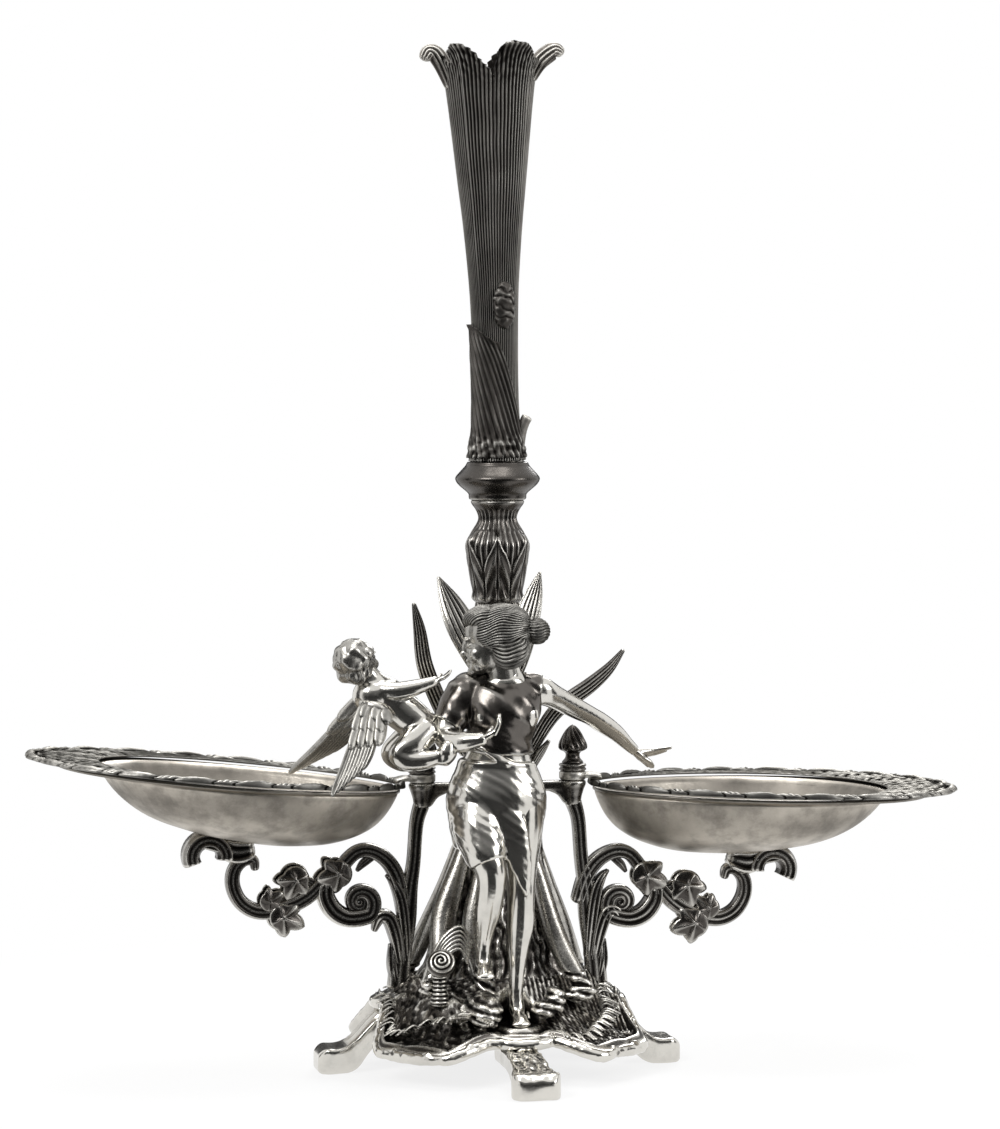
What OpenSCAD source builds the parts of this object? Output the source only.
// Figural epergne in oxidised silver plate: a trumpet vase on a tree-trunk stem, a nymph and a
// small winged boy before the trunk, and two leaf-shaped dishes on scroll brackets.
// The stem stands on Z, the dishes lie along X, and the nymph looks out along -Y.

/* [Base] */
// Mean radius of the ground's shaped edge
ground_r = 65; // [62:1:68]
// How far the ground's four lobes stand out from that radius
ground_lobe = 7; // [4:0.5:9]
// Height of the ground's edge band
ground_edge_h = 5; // [4:0.5:6]
// Thickness of the cast ground
ground_wall = 4; // [3:0.5:5]
// Height of the lobes' lower edge above the table
ground_low_z = 12.5; // [10:0.5:15]
// Height of the trunk's seat above the table
trunk_seat_z = 38; // [36:0.5:40]
// Reach of the two side feet from the stem
side_foot_reach = 89; // [84:1:94]
// Height of the side feet's seat under the ground
side_foot_seat = 30; // [28:0.5:31]
// Reach of the front and back feet from the stem
front_foot_reach = 100; // [95:1:105]
// Height of the front and back feet's seat under the ground
front_foot_seat = 17; // [16:0.5:18]
// Width of a foot across the toe
foot_w = 23; // [18:1:25]
// Thickness of a foot's strap
foot_t = 9; // [7:0.5:10]
// Height of a toe
toe_h = 12.5; // [11:0.5:14]
// Distance of the foot screws from the stem
foot_screw_r = 42; // [40:0.5:44]
// Diameter of all the fixing screws
screw_d = 4; // [3:0.5:4.5]

/* [Stem] */
// Height of the lower trunk
trunk_h = 93; // [90:1:96]
// Height of the upper trunk
upper_trunk_h = 86.6; // [84:0.2:90]
// Height of the leafy baluster over the trunk
baluster_h = 49; // [46:1:52]
// Largest radius of the baluster
baluster_r = 15.2; // [14:0.2:17]
// Height of the vase socket
socket_h = 18.4; // [17:0.2:20]
// Largest radius of the vase socket
socket_r = 20; // [18:0.5:22]
// Diameter of the tie rod through the stem
rod_d = 6; // [5:0.5:7]

/* [Vase] */
// Height of the vase from its seat to the petals' tips
vase_h = 202; // [190:1:210]
// Radius of the vase at its waist
vase_waist_r = 11.5; // [11:0.5:13]
// Radius at the petals' tips
vase_lip_r = 33; // [30:0.5:36]
// Wall of the vase
vase_wall = 1.6; // [1.2:0.2:2]
// Lean of the vase towards the boy's side
vase_lean = 1.2; // [0:0.2:2]
// Number of petals
petals = 6; // [5:1:8]
// Depth of the cuts between the petals
petal_cut = 20; // [12:1:26]
// Radius of the spigot in the socket
spigot_r = 9.5; // [9:0.5:10]
// Length of the spigot
spigot_h = 12; // [10:0.5:12.5]

/* [Crossbar and finials] */
// Distance of the two finial studs from the stem
stud_x = 37; // [35:0.5:40]
// Height of the crossbar
bar_h = 7; // [6:0.5:8]
// Width of the crossbar
bar_w = 7; // [6:0.5:8]
// Radius of the crossbar's end bosses and the dish eyes
boss_r = 6.5; // [6:0.5:7]
// Drop of the end bosses under the crossbar
boss_drop = 5; // [4:0.5:7]
// Thickness of the dish eyes
eye_h = 4.2; // [3.5:0.1:5]
// Diameter of the finial studs
stud_d = 4; // [3:0.5:5]
// Height of the collar under a finial
collar_h = 3.4; // [3:0.2:4]
// Height of a finial over its collar
finial_h = 18.6; // [17:0.2:20]
// Largest radius of a finial's bud
finial_r = 6.9; // [6:0.1:7.5]

/* [Dishes] */
// Length of a dish rim
dish_l = 180; // [174:1:186]
// Width of a dish rim
dish_w = 128; // [120:1:134]
// Gap between the stud and the dish rim
dish_gap = 9.5; // [9.5:0.5:11]
// Width of the flange at the outer tip
flange_tip = 35; // [28:1:40]
// Width of the flange along the sides
flange_side = 9; // [7:1:12]
// Depth of the bowl under the inner end of the rim
bowl_depth = 29.5; // [26:0.5:32]
// Wall of the bowl
bowl_wall = 1.6; // [1.2:0.2:2]
// Height of the cast rim
rim_h = 4.4; // [3.5:0.2:5]
// Number of scallops round the rim
rim_scallops = 20; // [16:1:24]
// How far the left dish and its bracket stand up at the outer end, in degrees
left_tilt = 3.5; // [0:0.5:4]
// How far the right dish and its bracket stand up at the outer end, in degrees
right_tilt = -3.5; // [-4:0.5:0]

/* [Figures] */
// Height of the nymph's standing foot above the table
nymph_z = 26; // [25:0.5:27]
// Height of the bent leg's stone over the standing foot
stone_h = 23; // [21:0.5:24]
// Thickness of the nymph's wings
wing_t = 2; // [1.6:0.2:2.4]
// Diameter of the dowel that holds the boy
dowel_d = 4; // [3:0.5:5]
// Width of the strap leaves
leaf_w = 8; // [7:0.5:9]

/* [Clearances] */
// Gap between faces that are soldered or screwed together
seat_gap = 0.05; // [0.02:0.01:0.1]
// Gap between faces that slide or turn on each other
run_gap = 0.2; // [0.15:0.05:0.3]
// Radial clearance of a turning or sliding fit
fit_gap = 0.05; // [0.03:0.01:0.1]
// Gap left for solder between cast surfaces
solder_gap = 0.3; // [0.2:0.05:0.4]

/* [Hidden] */
$fn = 64;

oxidised = [0.27, 0.26, 0.25];
polished = [0.78, 0.77, 0.74];
pewter = [0.56, 0.54, 0.51];
worn = [0.42, 0.41, 0.39];

bar_z = trunk_seat_z + trunk_h;
bar_top = bar_z + bar_h;
baluster_z = bar_top + upper_trunk_h;
socket_z = baluster_z + baluster_h;
vase_z = socket_z + socket_h;
eye_z = bar_top + run_gap;
collar_z = eye_z + eye_h + run_gap;
finial_z = collar_z + collar_h + run_gap;
boss_z = bar_z - boss_drop;
bore_d = rod_d + 2 * run_gap;
screw_hole_d = screw_d + 2 * fit_gap;

rod_plate = 10;
rod_seat_z = trunk_seat_z - rod_plate;
nut_h = 5;
washer_h = 1.5;
socket_floor = 6;
rod_bottom = rod_seat_z - washer_h - nut_h - 2;
rod_top = socket_z + socket_floor + nut_h + 1;

screw_head_h = 2.4;
screw_grip = 6;
bracket_foot_x = 49;
nymph_foot = [2.2, -40];
nymph_screw_at = [2.2, -31];
stone_at = [-15, -39.5];

trunk_seat_a = 42;
trunk_seat_b = 23;

// Plain helpers for smooth lists of stations and the solids skinned over them
function unit(v) = v / norm(v);
function mix(a, b, t) = a + (b - a) * t;
function smooth(t) = let (c = min(max(t, 0), 1)) c * c * (3 - 2 * c);
function curve_at(a, b, c, d, t) =
    (2 * b + (c - a) * t + (2 * a - 5 * b + 4 * c - d) * t * t + (3 * b - a - 3 * c + d) * t * t * t) / 2;
function curve(p, n) = [
    for (i = [0 : len(p) - 2], k = [0 : n - 1])
        curve_at(p[max(i - 1, 0)], p[i], p[i + 1], p[min(i + 2, len(p) - 1)], k / n),
    p[len(p) - 1]
];
function place(s) = [s[0], s[1], s[2]];
function heading(s, i) = unit(place(s[min(i + 1, len(s) - 1)]) - place(s[max(i - 1, 0)]));
function ring(s, t, depth_dir, sides, grow) =
    let (across = unit(cross(depth_dir, t)), deep = cross(t, across))
    [for (k = [0 : sides - 1])
        place(s) + across * (s[3] + grow) * cos(360 * k / sides) + deep * (s[4] + grow) * sin(360 * k / sides)];

// A closed skin over rings of points, with an end point beyond the first and last ring
module skin(rings, first, last) {
    n = len(rings);
    m = len(rings[0]);
    points = concat([for (r = rings) each r], [first, last]);
    sides = [for (i = [0 : n - 2], j = [0 : m - 1])
        let (a = i * m + j, b = i * m + (j + 1) % m)
        each [[a, a + m, b + m], [a, b + m, b]]];
    ends = [for (j = [0 : m - 1])
        let (k = (j + 1) % m, top = (n - 1) * m)
        each [[n * m, j, k], [n * m + 1, top + k, top + j]]];
    polyhedron(points, concat(sides, ends), convexity = 8);
}

// A band closed both ways over a loop of sections
module band(sections) {
    n = len(sections);
    m = len(sections[0]);
    faces = [for (i = [0 : n - 1], j = [0 : m - 1])
        let (k = (i + 1) % n, l = (j + 1) % m)
        each [[i * m + j, k * m + j, k * m + l], [i * m + j, k * m + l, i * m + l]]];
    polyhedron([for (s = sections) each s], faces, convexity = 10);
}

// A limb through stations of x, y, z, half width and half depth
module limb(stations, sides = 10, steps = 2, depth_dir = [0, 1, 0], round_ends = [0.6, 0.6], grow = 0) {
    s = curve(stations, steps);
    n = len(s) - 1;
    rings = [for (i = [0 : n]) ring(s[i], heading(s, i), depth_dir, sides, grow)];
    skin(rings,
        place(s[0]) - heading(s, 0) * (s[0][3] * round_ends[0] + grow),
        place(s[n]) + heading(s, n) * (s[n][3] * round_ends[1] + grow));
}

module finger(a, b, r) {
    hull() {
        translate(a) sphere(r, $fn = 4);
        translate(b) sphere(r * 0.75, $fn = 4);
    }
}

module at_left() {
    rotate([0, 0, 180]) children();
}

// Turns a bracket's arm or a dish up at its outer end, about the stud
module tilted(angle) {
    translate([stud_x, 0, eye_z]) rotate([0, -angle, 0]) translate([-stud_x, 0, -eye_z]) children();
}

// Ground: distance of a direction from the nearest foot, and the edge that lifts over the feet
foot_clear_angle = 13;
foot_fade_angle = 19;
ground_scallop = 1.2;
function off_foot(a) = smooth((abs((a + 45) % 90 - 45) - foot_clear_angle) / foot_fade_angle);
function ground_edge_r(a) =
    ground_r + ground_lobe * (2 * off_foot(a) - 1) + ground_scallop * off_foot(a) * cos(12 * a);
function over_foot_z(a) = mix(front_foot_seat, side_foot_seat, pow(cos(a), 2)) + 1;
function ground_edge_z(a) = mix(over_foot_z(a), ground_low_z, off_foot(a));
function ground_seat_r(a) = trunk_seat_a * trunk_seat_b
    / sqrt(pow(trunk_seat_b * cos(a), 2) + pow(trunk_seat_a * sin(a), 2)) + 2;
bank_at = [-31, -30];
bank_h = 9;
bank_spread = 13;
function bank(x, y) = bank_h * exp(-(pow(x - bank_at[0], 2) + pow(y - bank_at[1], 2)) / pow(bank_spread, 2));
function ground_point(a, t) =
    let (r = mix(ground_seat_r(a), ground_edge_r(a), t), low = ground_edge_z(a) + ground_edge_h, x = r * cos(a),
        y = r * sin(a))
    [x, y, low + (trunk_seat_z - low) * pow(1 - t, 2) + bank(x, y) * sin(180 * t)];
function ground_ring(t, drop) = [for (a = ground_angles) ground_point(a, t) - [0, 0, drop]];
ground_angles = [for (k = [0 : 35]) 10 * k];

// The cast ground, hollow underneath, from the rod's boss out to the edge and back to the trunk's seat
module ground_skin(rod_boss_r) {
    under = [0.1, 0.45, 0.8];
    over = [0.84, 0.66, 0.48, 0.3, 0.14];
    skin(concat(
        [[for (a = ground_angles) [rod_boss_r * cos(a), rod_boss_r * sin(a), rod_seat_z]]],
        [for (t = under) ground_ring(t, ground_wall)],
        [ground_ring(1, ground_edge_h), ground_ring(1, 0)],
        [for (t = over) ground_ring(t, 0)],
        [[for (a = ground_angles) [ground_seat_r(a) * cos(a), ground_seat_r(a) * sin(a), trunk_seat_z]]]),
        [0, 0, rod_seat_z], [0, 0, trunk_seat_z]);
}

module base_ground() {
    rod_boss_r = 15;
    boss_seat_r = 7;
    pad_r = 12;
    stone_r = 7;
    color(worn) difference() {
        union() {
            difference() {
                ground_skin(rod_boss_r);
                translate([nymph_foot[0], nymph_foot[1], nymph_z]) cylinder(r = pad_r, h = stone_h);
            }
            for (f = foot_places())
                rotate(f[0]) translate([foot_screw_r, 0, f[2]]) cylinder(r = boss_seat_r, h = ground_wall + 2);
            for (s = [-1, 1])
                translate([s * bracket_foot_x, 0, bracket_head_z - 1])
                    cylinder(r = 5.5, h = bracket_seat_z - bracket_head_z + 1);
            translate([nymph_foot[0], nymph_foot[1], nymph_z - ground_wall - 1])
                cylinder(r = pad_r + 1, h = ground_wall + 1);
            translate([stone_at[0], stone_at[1], nymph_z - ground_wall - 1])
                cylinder(r1 = stone_r + 3.5, r2 = stone_r, h = ground_wall + 1 + stone_h);
        }
        translate([0, 0, rod_seat_z - 1]) cylinder(d = bore_d, h = rod_plate + 2);
        for (f = foot_places())
            rotate(f[0]) translate([foot_screw_r, 0, f[2] - 1]) cylinder(d = screw_hole_d, h = screw_grip + 1);
        for (s = [-1, 1]) translate([s * bracket_foot_x, 0, bracket_head_z]) {
            cylinder(d = screw_hole_d, h = 30);
            translate([0, 0, -10]) cylinder(r = screw_d, h = 10);
        }
        translate([nymph_screw_at[0], nymph_screw_at[1], 5]) cylinder(d = screw_hole_d, h = nymph_z);
    }
}

bracket_seat_z = side_foot_seat + ground_edge_h + 4;
bracket_head_z = side_foot_seat + screw_head_h + 0.6;

// Each foot's direction, reach and seat
function foot_places() = [
    [270, front_foot_reach, front_foot_seat], [90, front_foot_reach, front_foot_seat],
    [180, side_foot_reach, side_foot_seat], [0, side_foot_reach, side_foot_seat]
];

foot_inner = 33;
toe_l = 15;

// A strap foot: its side view cut to its plan, with a screw hole under the ground
module foot(f) {
    reach = f[1];
    seat = f[2] - seat_gap;
    fall = seat - toe_h;
    top = curve([[foot_inner, seat], [reach - 38, seat], [reach - 30, seat - 0.1 * fall],
        [reach - 17, toe_h + 0.14 * fall], [reach - 9, toe_h - 0.5], [reach - 4, toe_h], [reach, toe_h - 3.5]], 4);
    under = curve([[reach - toe_l, 0], [reach - toe_l - 5, 2.5], [reach - toe_l - 12, (seat - foot_t) / 2 + 1],
        [reach - 40, seat - foot_t], [foot_inner, seat - foot_t]], 4);
    plan = curve([[foot_inner, foot_w * 0.36], [reach - 40, foot_w * 0.36], [reach - 20, foot_w * 0.38],
        [reach - 11, foot_w * 0.48], [reach - 5, foot_w * 0.5], [reach, foot_w * 0.36]], 4);
    last = len(plan) - 1;
    rotate(f[0]) difference() {
        intersection() {
            rotate([90, 0, 0]) translate([0, 0, -foot_w]) linear_extrude(2 * foot_w)
                polygon(concat(top, [[reach, 1], [reach - 1, 0]], under));
            linear_extrude(seat)
                polygon(concat(plan, [for (i = [0 : last]) [plan[last - i][0], -plan[last - i][1]]]));
        }
        translate([foot_screw_r, 0, seat - foot_t - 1]) cylinder(d = screw_hole_d, h = foot_t + 2);
    }
}

module foot_front() {
    color(polished) foot(foot_places()[0]);
}

module foot_back() {
    color(polished) foot(foot_places()[1]);
}

module foot_left() {
    color(polished) foot(foot_places()[2]);
}

module foot_right() {
    color(polished) foot(foot_places()[3]);
}

// A round-headed screw driven upwards, with its head's flat at z = 0
module screw(shank) {
    cylinder(d = screw_d, h = shank);
    rotate_extrude() intersection() {
        translate([0, -screw_d]) square([2 * screw_d, screw_d]);
        translate([0, screw_d - screw_head_h]) circle(r = screw_d);
    }
}

module foot_screws() {
    color(pewter) for (f = foot_places())
        rotate(f[0]) translate([foot_screw_r, 0, f[2] - seat_gap - foot_t - seat_gap])
            screw(foot_t + screw_grip - 0.5);
}

// Trunk: half widths along x and y at a height over the seat
root_ridges = 7;
root_depth = 0.07;
trunk_sides = 24;
function trunk_ring(z, a, b) = [for (k = [0 : trunk_sides - 1])
    let (t = k * 360 / trunk_sides, w = 1 + root_depth * cos(root_ridges * t + z))
    [a * w * cos(t), b * w * sin(t), z]];

module trunk_solid(stations, steps) {
    s = curve(stations, steps);
    n = len(s) - 1;
    skin([for (q = s) trunk_ring(q[0], q[1], q[2])], [0, 0, s[0][0]], [0, 0, s[n][0]]);
}

upper_a = 15;
upper_b = 12.2;
stem_foot_r = 10.7;

module trunk_lower() {
    color(oxidised) difference() {
        trunk_solid([[trunk_seat_z + seat_gap, trunk_seat_a / (1 + root_depth), trunk_seat_b / (1 + root_depth)],
            [trunk_seat_z + 0.17 * trunk_h, 36, 19.5], [trunk_seat_z + 0.38 * trunk_h, 29, 17],
            [trunk_seat_z + 0.66 * trunk_h, 22.5, 14], [bar_z - seat_gap, 20, 13]], 2);
        translate([0, 0, trunk_seat_z - 1]) cylinder(d = bore_d, h = trunk_h + 2);
    }
}

module trunk_upper() {
    color(oxidised) difference() {
        trunk_solid([[bar_top + seat_gap, 18, 12.6], [bar_top + 0.3 * upper_trunk_h, upper_a, upper_b],
            [bar_top + 0.7 * upper_trunk_h, 12, 11], [baluster_z - seat_gap, stem_foot_r, stem_foot_r]], 2);
        translate([0, 0, bar_top - 1]) cylinder(d = bore_d, h = upper_trunk_h + 2);
        boy_dowel_at() translate([0, 0, -dowel_sink]) cylinder(d = dowel_d + 2 * fit_gap, h = 30);
    }
}

// A turned solid from a smooth list of radius and height
module turned(profile, steps = 5) {
    p = curve(profile, steps);
    n = len(p) - 1;
    rotate_extrude() polygon(concat([[0, p[0][1]]], p, [[0, p[n][1]]]));
}

module stem_baluster() {
    z = baluster_z;
    h = baluster_h;
    color(oxidised) difference() {
        turned([[stem_foot_r, z + seat_gap], [stem_foot_r + 0.6, z + 0.15 * h], [baluster_r - 1.2, z + 0.4 * h],
            [baluster_r, z + 0.56 * h], [baluster_r - 2.6, z + 0.68 * h], [9.2, z + 0.8 * h], [9.6, z + 0.88 * h],
            [12.4, z + h - seat_gap]]);
        translate([0, 0, z - 1]) cylinder(d = bore_d, h = h + 2);
    }
}

module vase_socket() {
    z = socket_z;
    h = socket_h;
    color(oxidised) difference() {
        turned([[12.5, z + seat_gap], [14.2, z + 0.18 * h], [socket_r - 0.9, z + 0.4 * h], [socket_r, z + 0.56 * h],
            [socket_r - 0.8, z + 0.72 * h], [15.6, z + 0.88 * h], [14, z + h]]);
        translate([0, 0, z - 1]) cylinder(d = bore_d, h = h);
        translate([0, 0, z + socket_floor]) cylinder(r = spigot_r + fit_gap, h = h);
    }
}

// Vase: radius at a share of the height, then the petals' flare
function vase_profile() = [[12.6, 3], [12, 0.05 * vase_h], [vase_waist_r, 0.15 * vase_h],
    [vase_waist_r + 1, 0.33 * vase_h], [14.4, 0.5 * vase_h], [18.7, 0.74 * vase_h], [20.2, 0.84 * vase_h],
    [23, 0.92 * vase_h], [28, 0.965 * vase_h], [vase_lip_r, 0.985 * vase_h]];

module vase() {
    outer = curve(vase_profile(), 4);
    last = len(outer) - 1;
    wall = concat(outer, [for (i = [0 : last]) outer[last - i] - [vase_wall, 0]]);
    gape = 180 / petals;
    color(oxidised) translate([0, 0, vase_z + run_gap]) {
        rotate([0, -vase_lean, 0]) difference() {
            rotate_extrude() polygon(wall);
            for (k = [0 : petals - 1])
                rotate([90, 0, (k + 0.5) * 360 / petals - 90]) translate([0, vase_h - petal_cut, 8])
                    linear_extrude(vase_lip_r) polygon(petal_notch(20 * tan(gape)));
        }
        difference() {
            union() {
                translate([0, 0, -spigot_h]) cylinder(r = spigot_r, h = spigot_h + 1);
                cylinder(r = 13.4, h = 4.5);
            }
            translate([0, 0, -spigot_h - 1]) cylinder(r = spigot_r - 3, h = spigot_h + 3);
            translate([0, 0, 3.2]) cylinder(r = vase_waist_r - vase_wall, h = 9);
        }
    }
}

// The pointed gap between two petals, seen from the axis
function petal_notch(half) =
    let (side = curve([[0.3, 0], [0.2 * half, 0.35 * petal_cut], [0.42 * half, 0.62 * petal_cut],
        [half * 1.1, petal_cut * 1.02], [half * 1.25, petal_cut * 1.3]], 3), n = len(side) - 1)
    concat(side, [for (i = [0 : n]) [-side[n - i][0], side[n - i][1]]]);

module tie_rod() {
    color(pewter) translate([0, 0, rod_bottom]) cylinder(d = rod_d, h = rod_top - rod_bottom);
}

module hex_nut(z) {
    translate([0, 0, z]) difference() {
        cylinder(d = rod_d * 1.75, h = nut_h - seat_gap, $fn = 6);
        translate([0, 0, -1]) cylinder(d = rod_d + 2 * fit_gap, h = nut_h + 2);
    }
}

module tie_nuts() {
    color(pewter) {
        hex_nut(rod_seat_z - washer_h - nut_h);
        hex_nut(socket_z + socket_floor + seat_gap);
    }
}

module tie_washer() {
    color(pewter) translate([0, 0, rod_seat_z - washer_h]) difference() {
        cylinder(d = rod_d * 2.2, h = washer_h - seat_gap);
        translate([0, 0, -1]) cylinder(d = bore_d, h = washer_h + 2);
    }
}

module crossbar() {
    hub_r = 12;
    color(oxidised) difference() {
        union() {
            translate([0, 0, bar_z]) cylinder(r = hub_r, h = bar_h);
            translate([-stud_x, -bar_w / 2, bar_z]) cube([2 * stud_x, bar_w, bar_h]);
            for (s = [-1, 1]) {
                translate([s * stud_x, 0, boss_z]) cylinder(r = boss_r, h = boss_drop + bar_h);
                rotate([90, 0, 0]) translate([0, 0, -bar_w / 2 + 1]) linear_extrude(bar_w - 2)
                    polygon([[s * (stud_x - boss_r + 1), boss_z + 1], [s * (stud_x - boss_r + 1), bar_z + 1],
                        [s * (stud_x - boss_r - boss_drop), bar_z + 1], [s * (stud_x - boss_r - boss_drop), bar_z]]);
            }
        }
        translate([0, 0, bar_z - 1]) cylinder(d = bore_d, h = bar_h + 2);
        for (s = [-1, 1])
            translate([s * stud_x, 0, boss_z - 1]) cylinder(d = stud_d + 2 * fit_gap, h = boss_drop + bar_h + 2);
    }
}

// Brackets: each stroke is a list of x, z and half width in the bracket's own plane
module stroke(path, thick = 1.3, steps = 2, y = 0) {
    limb([for (p = path) [p[0], y, p[1], p[2], p[2] * thick]], sides = 6, steps = steps);
}

function volute(c, r0, r1, start, turns, n) = [for (i = [0 : n])
    let (t = i / n, r = r0 * pow(r1 / r0, t), a = start + 360 * turns * t) [c[0] + r * cos(a), c[1] + r * sin(a)]];

// An ivy leaf of five pointed lobes with a raised middle, on the bracket's front
module ivy_leaf(at, size, turn) {
    leaf_t = 3;
    notch = 0.42;
    tips = [[-128, 0.6], [-62, 0.84], [0, 1], [62, 0.84], [128, 0.6]];
    outline = concat([[180, 0.3]], [for (i = [0 : 4]) each [tips[i], [tips[i][0] + 33, notch]]]);
    edge = [for (q = outline) size * q[1] * [cos(q[0]), sin(q[0])]];
    translate(at) rotate([90, turn, 180])
        skin([[for (e = edge) [e[0], e[1], 0]], [for (e = edge) [e[0], e[1], leaf_t - 1]]], [0, 0, 0], [0, 0, leaf_t]);
}

// Castings beside the crossbar are drawn for a bar whose top is at this height, and move with the real one
drawn_bar_top = 138;
bar_shift = bar_top - drawn_bar_top;

// Height on a bracket's post, as a share of the way from its seat to the boss
function post_z(share) = bracket_seat_z + share * (boss_z - bracket_seat_z);

pad_in = 82.5;
pad_out = 111;
pad_w = 17;

module bracket(tilt) {
    foot_x = bracket_foot_x;
    cut = 60;
    difference() {
        union() {
            limb([[stud_x + 1, 0, boss_z + 2, 4, 4.6], [stud_x + 3.5, 0, boss_z - 8, 3.4, 4.4],
                [stud_x + 4.5, 0, post_z(0.7), 3.6, 4.6], [43.5, 0, post_z(0.53), 4.4, 5.4],
                [46, 0, post_z(0.33), 4.6, 5.6], [foot_x - 1, 0, post_z(0.16), 4.4, 5.2],
                [foot_x, 0, bracket_seat_z - 2, 5.2, 5.2]], 8);
            stroke([[45, post_z(0.26), 2.6], [48.2, post_z(0.44), 3.2], [51, post_z(0.58), 0.8]], 1.4);
            stroke([[46, post_z(0.21), 3], [49.5, post_z(0.37), 3.4], [54.5, post_z(0.43), 2.8],
                [58.5, post_z(0.39), 2.4], [59.6, post_z(0.33), 1.2]], 1.5);
            tilted(tilt) {
                translate([0, 0, bar_shift]) bracket_arm();
                bracket_pad();
            }
        }
        translate([foot_x, 0, bracket_seat_z - 1]) cylinder(d = screw_d + 2 * solder_gap, h = 11, $fn = 24);
        translate([0, -cut, boss_z - seat_gap]) cube(2 * cut);
        translate([0, -cut, bracket_seat_z + seat_gap - 2 * cut]) cube(2 * cut);
    }
}

module bracket_arm() {
    spiral = volute([64.5, 80], 9.6, 2.6, 175, 1.35, 12);
    stroke([[43, 80, 3], [46.2, 91.5, 3.4], [52, 100, 3.4], [60, 104.3, 3.2], [67.5, 103, 3], [74.5, 95, 3.2],
        [80.5, 86, 3.4]]);
    stroke(concat([[81, 87, 3.2], [80.6, 81, 3.4], [76.5, 74.6, 3.4], [69, 71.4, 3.2]],
        [for (i = [3 : 12]) [spiral[i][0], spiral[i][1], 3.2 - 0.13 * i]]), 1.4, 1);
    stroke([[82, 89, 3], [88.5, 82, 3.4], [96, 77.2, 3.4], [105, 74, 3.4], [114, 73.4, 3.4], [121.5, 77.5, 3.3],
        [125.6, 85, 3.2], [125.4, 92.5, 3], [121.4, 97.4, 2.8], [116.6, 97.6, 2.4], [115.4, 93.8, 1.8]], 1.4, 1);
    stroke([[92, 79, 1.6], [95, 74.4, 1.8], [99, 72, 1.2]], 1.2);
    stroke([[84, 86, 2], [90, 89, 2], [97, 89.5, 1.2]], 1.4);
    ivy_leaf([75.5, 2.5, 93], 9.5, 20);
    ivy_leaf([96, 1.5, 89.5], 9.5, 70);
    ivy_leaf([101, 3, 71], 9.5, 160);
}

// Height of the pad's top under the bowl, from the bowl's own underside
function pad_z(u) = bowl_point(u) - solder_gap - 0.1;
function bowl_point(u) = bowl_z + bowl_fall(u) * bowl_shape((u - bowl_mid) / (cavity_out - bowl_mid));
function bowl_fall(u) = rim_z(cavity_out) - flange_t - bowl_z;

module bracket_pad() {
    x0 = stud_x + pad_in;
    x1 = stud_x + pad_out;
    top0 = pad_z(pad_in);
    rotate([90, 0, 0]) translate([0, 0, -pad_w / 2]) linear_extrude(pad_w)
        polygon([[x0, top0], [x1 - 2, top0 + 0.8], [x1 + 2, top0 - 2], [x1 + 2.6, top0 - 8], [x1 + 0.6, top0 - 13],
            [x1 - 3, top0 - 12.6], [x1 - 5.4, top0 - 8], [x1 - 10, top0 - 5.2], [x1 - 15, top0 - 6.6],
            [x1 - 19, top0 - 11.6], [x0 + 5, top0 - 13.6], [x0, top0 - 8]]);
}

module bracket_left() {
    color(oxidised) at_left() bracket(left_tilt);
}

module bracket_right() {
    color(oxidised) bracket(right_tilt);
}

module bracket_screws() {
    color(pewter) for (s = [-1, 1])
        translate([s * bracket_foot_x, 0, bracket_head_z - seat_gap]) screw(14);
}

// Dishes: u runs outward from the stud and v across
rim_in = dish_gap;
rim_out = dish_gap + dish_l;
cavity_in = rim_in + 3;
cavity_out = rim_out - flange_tip;
bowl_mid = 60;
egg = 0.16;
flange_t = bowl_wall;
rim_rise = 0.034;
rim_inner_z = bar_top - 1.5;
bowl_z = rim_inner_z - bowl_depth;
function rim_z(u) = rim_inner_z + rim_rise * (u - rim_in);
function egg_point(u0, u1, half, a) =
    [(u0 + u1) / 2 + (u1 - u0) / 2 * cos(a), half * sin(a) * (1 + egg * cos(a)), 0];
function rim_line(a, grow = 0) = egg_point(rim_in - grow, rim_out + grow, dish_w / 2 + grow, a);
function cavity_line(a, grow = 0) =
    egg_point(cavity_in - grow, cavity_out + grow, dish_w / 2 - flange_side + grow, a);
function bowl_shape(t) = 0.55 * t * t + 0.45 * pow(t, 8);
function lift(p, z) = [p[0] + stud_x, p[1], z];

dish_steps = 32;
function bowl_ring(t, inward) = [for (k = [0 : dish_steps - 1])
    let (e = cavity_line(k * 360 / dish_steps, -inward), m = [bowl_mid, 0, 0], p = m + (e - m) * t,
        edge = rim_z(e[0]) - flange_t)
    lift(p, bowl_z + (edge - bowl_z) * bowl_shape(t) + (inward > 0 ? bowl_wall : 0))];
function flange_ring(f, up) = [for (k = [0 : dish_steps - 1])
    let (a = k * 360 / dish_steps, p = mix(cavity_line(a), rim_line(a), f)) lift(p, rim_z(p[0]) - flange_t + up)];

module dish_bowl(tilt) {
    tilted(tilt) skin(concat(
        [for (t = [0.35, 0.65, 0.88, 1]) bowl_ring(t, 0)],
        [flange_ring(1, 0), flange_ring(1, flange_t)],
        [for (t = [1, 0.88, 0.65, 0.35]) bowl_ring(t, bowl_wall)]),
        lift([bowl_mid, 0], bowl_z), lift([bowl_mid, 0], bowl_z + bowl_wall));
}

rim_steps = 60;
scallop = 1.6;

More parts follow.
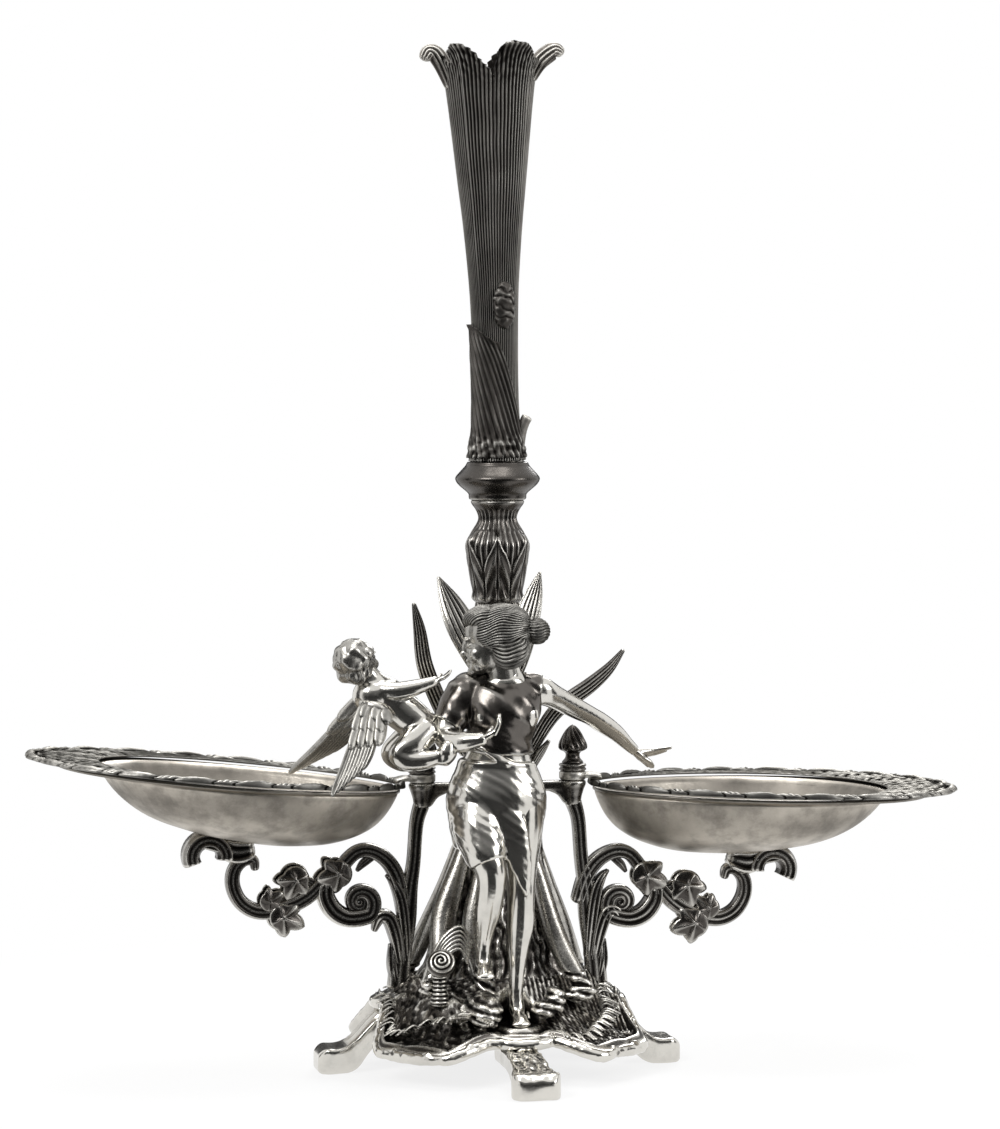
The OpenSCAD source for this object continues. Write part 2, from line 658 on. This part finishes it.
// The cast border over the flange, with a scalloped bead and the eye for the stud
module dish_rim(tilt) {
    neck_w = 9;
    difference() {
        union() {
            tilted(tilt) band([for (k = [0 : rim_steps - 1])
                let (a = k * 360 / rim_steps, wave = scallop * (0.5 + 0.5 * cos(a * rim_scallops)),
                    i = cavity_line(a, 1.2), o = rim_line(a, 0.4 + wave), b = mix(o, i, 0.25))
                [lift(i, rim_z(i[0]) + solder_gap), lift(i, rim_z(i[0]) + 1.6),
                    lift(b, rim_z(b[0]) + rim_h - 1.6 + wave), lift(o, rim_z(o[0]) + rim_h - 1.2),
                    lift(o, rim_z(o[0]) + solder_gap)]]);
            translate([stud_x, 0, eye_z]) cylinder(r = boss_r, h = eye_h);
            translate([stud_x, -neck_w / 2, eye_z + 0.4]) cube([cavity_in, neck_w, eye_h - 1.4]);
        }
        translate([stud_x, 0, eye_z - 1]) cylinder(d = stud_d + 2 * fit_gap, h = eye_h + 2);
    }
}

module dish_rim_left() {
    color(polished) at_left() dish_rim(left_tilt);
}

module dish_rim_right() {
    color(polished) dish_rim(right_tilt);
}

module dish_bowl_left() {
    color(pewter) at_left() dish_bowl(left_tilt);
}

module dish_bowl_right() {
    color(pewter) dish_bowl(right_tilt);
}

module finial_collar() {
    translate([stud_x, 0, collar_z]) difference() {
        rotate_extrude() polygon([[0, 0], [boss_r - 0.4, 0], [boss_r, 0.8], [boss_r - 0.5, 1.7], [boss_r, 2.4],
            [boss_r - 0.6, collar_h], [0, collar_h]]);
        translate([0, 0, -1]) cylinder(d = stud_d + 2 * fit_gap, h = collar_h + 2);
    }
}

// A bud with twisted flutes on a stud
module finial() {
    flutes = 9;
    stud_len = finial_z - boss_z - 1;
    h = finial_h;
    r = finial_r;
    translate([stud_x, 0, finial_z]) {
        difference() {
            turned([[r * 0.68, 0], [r * 0.62, 0.06 * h], [r * 0.5, 0.16 * h], [r * 0.52, 0.26 * h], [r * 0.9, 0.36 * h],
                [r, 0.42 * h], [r * 0.8, 0.62 * h], [r * 0.5, 0.84 * h], [r * 0.2, 0.97 * h], [0.01, h]], 4);
            for (k = [0 : flutes - 1])
                rotate(k * 360 / flutes) translate([r * 1.02, -0.5, 0.38 * h]) rotate([24, -19, 0])
                    cylinder(r = 0.62, h = h);
        }
        translate([0, 0, -stud_len]) cylinder(d = stud_d, h = stud_len + 1);
    }
}

module finial_collar_left() {
    color(oxidised) at_left() finial_collar();
}

module finial_collar_right() {
    color(oxidised) finial_collar();
}

module finial_left() {
    color(oxidised) at_left() finial();
}

module finial_right() {
    color(oxidised) finial();
}

// Nymph: stations of x, y, height over the standing sole, half width and half depth
nymph_trunk = [[-7, -31, 96, 15, 12], [-6.5, -30.5, 110, 22.6, 15], [-6, -30, 121, 20.5, 14], [-5, -30.5, 133, 14.4, 11],
    [-4.2, -32, 143, 16, 12.4], [-3.4, -32.8, 152, 17.4, 12.6], [-2.8, -32, 160, 17, 8.6], [-2.7, -32, 164.6, 7.6, 7],
    [-3, -32.6, 172, 6.2, 6.2]];
nymph_head = [[-5, -34.5, 172, 7.5, 7.5], [-6.6, -35, 177, 12, 10.6], [-7.2, -35, 184, 15, 12.4],
    [-6.6, -35, 191, 15, 12.6], [-5.4, -35, 197, 11.6, 10.4], [-5, -35, 201, 5.5, 5.5]];
stand_leg = [[4, -31, 106, 11.6, 12.4], [3.6, -34, 86, 10.2, 11], [4, -36.6, 68, 7.4, 8], [4, -37.4, 60, 6.6, 7.2],
    [3.8, -35.4, 45, 6.4, 7.4], [2.8, -34.6, 27, 4.2, 5], [2.2, -35, 15, 3.5, 4.2], [2.2, -36, 6, 4.2, 5.4]];
bent_leg = [[-15, -30, 104, 11.6, 12.6], [-16, -38, 91, 10.8, 11.6], [-12.2, -46.6, 76, 7.6, 8.2],
    [-11.8, -44.6, 66, 6.6, 7.4], [-12.4, -39.6, 54, 6.2, 7], [-13.6, -36, 38, 3.6, 4.2], [-14.2, -36, 29, 4, 5]];
drape_tail = [[-4, -44.5, 100, 7, 2.6], [0, -46.5, 84, 6.4, 2.2], [3.4, -46.4, 70, 4.4, 1.8], [5, -45.5, 60, 1, 1]];
right_arm = [[-19, -29, 159.4, 6.4, 6.4], [-26.5, -31, 148.8, 5.5, 5.6], [-33.6, -34.6, 137.6, 5, 5],
    [-25, -45, 142, 4.5, 4.6], [-15, -51.4, 147, 3.3, 3.2], [-10, -53.4, 149.6, 3.6, 2.6]];
left_arm = [[14.4, -31, 158.6, 6.6, 6.6], [29, -22, 151.4, 5.5, 5.6], [44, -11.6, 143.4, 4.8, 4.8],
    [57, -1.6, 135.4, 4.4, 4.4], [68.6, 8.6, 125.6, 3.2, 3.2], [75, 12.6, 122, 3, 3.4]];

module toes(at, dir) {
    for (k = [-2 : 2])
        finger([at[0] + 1.5 * k, at[1] + 1.5, at[2] + 0.4], [at[0] + 1.7 * k + dir, at[1] - 3 + 0.6 * abs(k), at[2]], 1.3);
}

module nymph_torso(grow = 0) {
    limb(nymph_trunk, 12, 2, grow = grow);
}

module nymph_body() {
    sole = 2.4;
    color(polished) translate([0, 0, nymph_z]) difference() {
        union() {
            nymph_torso();
            limb(nymph_head, 12, 2);
            translate([10, -33, 192.6]) sphere(6.2, $fn = 12);
            limb(stand_leg, 8);
            limb(bent_leg, 8);
            limb([[2.2, -31.6, sole, 3.8, sole], [2.2, -38, 3.4, 4.4, 3.4], [2.4, -45, sole, 5, sole]], depth_dir = [0, 0, 1]);
            translate([0, 0, stone_h]) limb([[-14.2, -32, sole, 3.8, sole], [-14.6, -38, 3.4, 4.4, 3.4],
                [-15, -44.5, sole, 5, sole]], depth_dir = [0, 0, 1]);
            toes([2.4, -46.5, 1.6], 0);
            translate([0, 0, stone_h]) toes([-15, -46, 1.6], 0);
            limb([[-6.4, -30.6, 90, 20, 14], [-6.2, -30.4, 104, 23.6, 16], [-5.8, -30, 116, 21.6, 14.8],
                [-5.4, -30.2, 124, 18.4, 13]], 12, 2, round_ends = [0.1, 0.1]);
            limb([[-15.4, -32, 102, 12.6, 13.4], [-16, -38.6, 90, 11.8, 12.4], [-13.4, -45, 79, 9.4, 9.6]],
                round_ends = [0.1, 0.1]);
            limb(drape_tail, 8);
        }
        translate([-60, -80, -5]) cube([120, 80, 5 + seat_gap]);
        translate([nymph_screw_at[0], nymph_screw_at[1], -1]) cylinder(d = screw_d + 2 * solder_gap, h = 6, $fn = 24);
    }
}

module nymph_right_arm() {
    hand = [-9, -53.8, 150];
    color(polished) translate([0, 0, nymph_z]) difference() {
        union() {
            limb(right_arm, 8);
            for (k = [0 : 3]) {
                knuckle = hand + [2 - 0.6 * k, 0.6 * k, 2.6 - 1.6 * k];
                bend = knuckle + [3.4, 0.4, 0.4 - 0.5 * k];
                finger(hand, knuckle, 1.6);
                finger(knuckle, bend, 1.3);
            }
            finger(hand + [-1, 0, 1], hand + [-0.4, 0.6, 6], 1.4);
            finger(hand + [-0.4, 0.6, 5], hand + [0.4, 1, 8.4], 1.1);
        }
        nymph_torso(solder_gap);
    }
}

module nymph_left_arm() {
    hand = [76.5, 13.6, 121.6];
    color(polished) translate([0, 0, nymph_z]) difference() {
        union() {
            limb(left_arm, 8);
            for (k = [0 : 3]) {
                knuckle = hand + [4.6, 3.6 - 2 * k, 1.4 - 0.3 * k];
                bend = knuckle + [5, 1.4 - 0.8 * k, 2.4];
                finger(hand, knuckle, 1.7);
                finger(knuckle, bend, 1.4);
            }
            finger(hand, hand + [5, -6.4, 1.6], 1.5);
        }
        nymph_torso(solder_gap);
    }
}

// A ribbed wing: long feathers fanned from a root, each a tapering rib
module ribbed_wing(root, tip, spread, ribs) {
    for (k = [0 : ribs - 1]) {
        f = k / (ribs - 1);
        end = tip + (root - tip) * 0.5 * pow(f, 1.3) + spread * sin(150 * f);
        hull() {
            translate(root + spread * 0.12 * f) sphere(wing_t, $fn = 4);
            translate(mix(root, end, 0.6) + spread * 0.16 * f) sphere(wing_t * 0.95, $fn = 4);
            translate(end) sphere(wing_t * 0.4, $fn = 4);
        }
    }
}

module nymph_wing(root, tip, spread) {
    translate([0, 0, nymph_z]) difference() {
        ribbed_wing(root, tip, spread, 7);
        nymph_torso(solder_gap);
    }
}

module nymph_wing_left() {
    color(polished) nymph_wing([-9, -24, 160], [-30, -8.6, 210], [12, -2, 4]);
}

module nymph_wing_right() {
    color(polished) nymph_wing([3, -24, 160], [17, -17, 213], [-9, -1, 2]);
}

module nymph_screw() {
    pad_under = nymph_z - ground_wall - 1;
    color(pewter) translate([nymph_screw_at[0], nymph_screw_at[1], pad_under - seat_gap]) screw(ground_wall + 5);
}

// Boy: stations of x, y, z, half width and half depth
boy_torso_line = [[-65, -30, 188.4, 4.4, 4.6], [-61, -30, 183, 8, 8], [-54, -30.6, 177, 8.4, 8.6], [-46, -31.4, 171, 8.6, 9],
    [-40, -32, 167, 7.6, 8.4]];
boy_head_line = [[-67, -30.6, 188.6, 6, 6], [-70, -31, 192, 9.8, 9.6], [-73, -31.4, 198, 11, 10.6],
    [-75, -31.6, 204, 10, 9.8], [-76.4, -31.8, 209, 5.4, 5.4]];
boy_near_leg = [[-41, -36, 167, 7.2, 7], [-49, -40, 160.6, 6.8, 6.6], [-56, -42, 156, 5, 5], [-52, -43, 153.4, 4.6, 4.6],
    [-42, -43.6, 153.4, 4.2, 4.4], [-35, -43.6, 155.4, 3.2, 3.4]];
boy_far_leg = [[-42, -27, 167, 7, 6.6], [-50, -22.6, 160, 6.4, 6.2], [-56, -20.6, 154, 4.8, 4.8],
    [-50, -20, 150, 4.2, 4.2], [-42, -20.4, 149, 3.4, 3.4]];
boy_arm_line = [[-62, -35.4, 185.4, 4.8, 4.8], [-54.6, -38.4, 185.6, 4.2, 4.2], [-47, -39, 187, 3.7, 3.7],
    [-38.6, -38.6, 189.6, 2.8, 2.8], [-35, -38.4, 191, 2.8, 2.4]];

boy_far_arm = [[-61, -25, 184, 4.6, 4.6], [-55, -19, 179, 4, 4], [-47, -17, 178, 3, 3], [-43, -17, 179, 2.4, 2.4]];

module boy_torso(grow = 0) {
    limb(boy_torso_line, 10, 2, grow = grow);
}

module boy_body() {
    curls = 8;
    color(polished) difference() {
        union() {
            boy_torso();
            limb(boy_head_line, 10, 2);
            for (k = [0 : curls - 1]) {
                a = k * 137.5;
                h = 2 + 12 * k / curls;
                hull() {
                    translate([-70.5 - 0.42 * h + 8 * cos(a), -31.2 + 8 * sin(a), 195 + h]) sphere(3, $fn = 5);
                    translate([-71.5 - 0.42 * h + 8.6 * cos(a + 30), -31.2 + 8.6 * sin(a + 30), 196 + h])
                        sphere(2.2, $fn = 5);
                }
            }
            limb(boy_near_leg, 8);
            limb(boy_far_leg, 8);
            limb([[-35, -43.6, 155.6, 3.2, 3.2], [-33, -44, 156, 5.4, 5.4], [-31.6, -44.4, 157, 4.4, 4.6]], 8,
                depth_dir = [0, 0, 1]);
            limb(boy_far_arm, 8);
        }
        translate([0, 0, nymph_z]) limb(right_arm, 8, grow = solder_gap);
        boy_dowel_at() cylinder(d = dowel_d + 2 * solder_gap, h = 80, $fn = 24);
    }
}

module boy_arm() {
    hand = [-34.4, -38.4, 191];
    color(polished) difference() {
        union() {
            limb(boy_arm_line, 8);
            for (k = [0 : 3]) {
                knuckle = hand + [2.6, 1.6 - 1.1 * k, 1 - 0.2 * k];
                finger(hand, knuckle, 1.3);
                finger(knuckle, knuckle + [2, 0.3, 1.4], 1.05);
            }
            finger(hand, hand + [0.6, -1.4, 3.4], 1.2);
        }
        boy_torso(solder_gap);
    }
}

// A feathered wing: coverts by the root and long quills below
module feathered_wing(root, tip, spread) {
    quills = 6;
    coverts = 4;
    for (k = [0 : quills - 1]) {
        f = k / (quills - 1);
        finger(root + spread * (0.5 * f - 0.1), tip + (root - tip) * 0.34 * f + spread * 0.55 * f, 2.3);
    }
    for (k = [0 : coverts - 1]) {
        f = k / (coverts - 1);
        finger(root + spread * (0.6 * f - 0.15), mix(root, tip, 0.4) + spread * (0.75 * f - 0.1), 3);
    }
}

module boy_wing(root, tip, spread) {
    difference() {
        feathered_wing(root, tip, spread);
        boy_torso(solder_gap);
        limb(boy_far_arm, 8, grow = solder_gap);
    }
}

module boy_wing_front() {
    color(polished) boy_wing([-66, -36, 178], [-88, -57, 143.4], [12, -4, -4]);
}

module boy_wing_back() {
    color(polished) boy_wing([-68, -26, 182], [-101, -9, 146], [11, 5, -5]);
}

// The dowel runs from the trunk's flank into the boy's hip
dowel_sink = 6;
dowel_root = [-13.4, -7.5, 166];
dowel_tip = [-41, -29.5, 169];

module boy_dowel_at() {
    d = dowel_tip - dowel_root;
    translate(dowel_root) rotate([0, acos(d[2] / norm(d)), atan2(d[1], d[0])]) children();
}

module boy_dowel() {
    color(pewter) boy_dowel_at() translate([0, 0, -dowel_sink + 0.5])
        cylinder(d = dowel_d, h = norm(dowel_tip - dowel_root) + dowel_sink);
}

// Strap leaves with a raised midrib, growing from the trunk
module strap_leaf(line, face) {
    translate([0, 0, bar_shift])
        limb([for (p = line) [p[0], p[1], p[2], leaf_w / 2 * p[3], 0.9 + 0.5 * p[3]]], 8, 2, face, [0, 0.8]);
}

module leaf_tall() {
    color(worn) strap_leaf([[-18.6, -1.9, 157, 0.8], [-23.6, -3.4, 166, 1], [-30, -5, 178, 1], [-36.6, -5.6, 195, 0.95],
        [-39, -4.6, 212, 0.7], [-41.4, -3.4, 224, 0.25]], [0.3, 0.95, 0]);
}

module leaf_long() {
    color(worn) strap_leaf([[15.8, -7.8, 153.4, 0.8], [22, -9.6, 166, 1], [30, -9.6, 175, 1], [44, -7, 184, 0.95],
        [54, -5, 192, 0.7], [61, -3.6, 200.4, 0.25]], [-0.3, 0.95, 0]);
}

module leaf_small() {
    color(worn) strap_leaf([[16.4, -7, 146, 0.6], [19, -10, 152, 0.6], [22.6, -12.4, 158, 0.2]], [-0.5, 0.85, 0]);
}

base_ground();
foot_front();
foot_back();
foot_left();
foot_right();
foot_screws();
trunk_lower();
trunk_upper();
stem_baluster();
vase_socket();
vase();
tie_rod();
tie_nuts();
tie_washer();
crossbar();
bracket_left();
bracket_right();
bracket_screws();
dish_rim_left();
dish_rim_right();
dish_bowl_left();
dish_bowl_right();
finial_collar_left();
finial_collar_right();
finial_left();
finial_right();
nymph_body();
nymph_right_arm();
nymph_left_arm();
nymph_wing_left();
nymph_wing_right();
nymph_screw();
boy_body();
boy_arm();
boy_wing_front();
boy_wing_back();
boy_dowel();
leaf_tall();
leaf_long();
leaf_small();
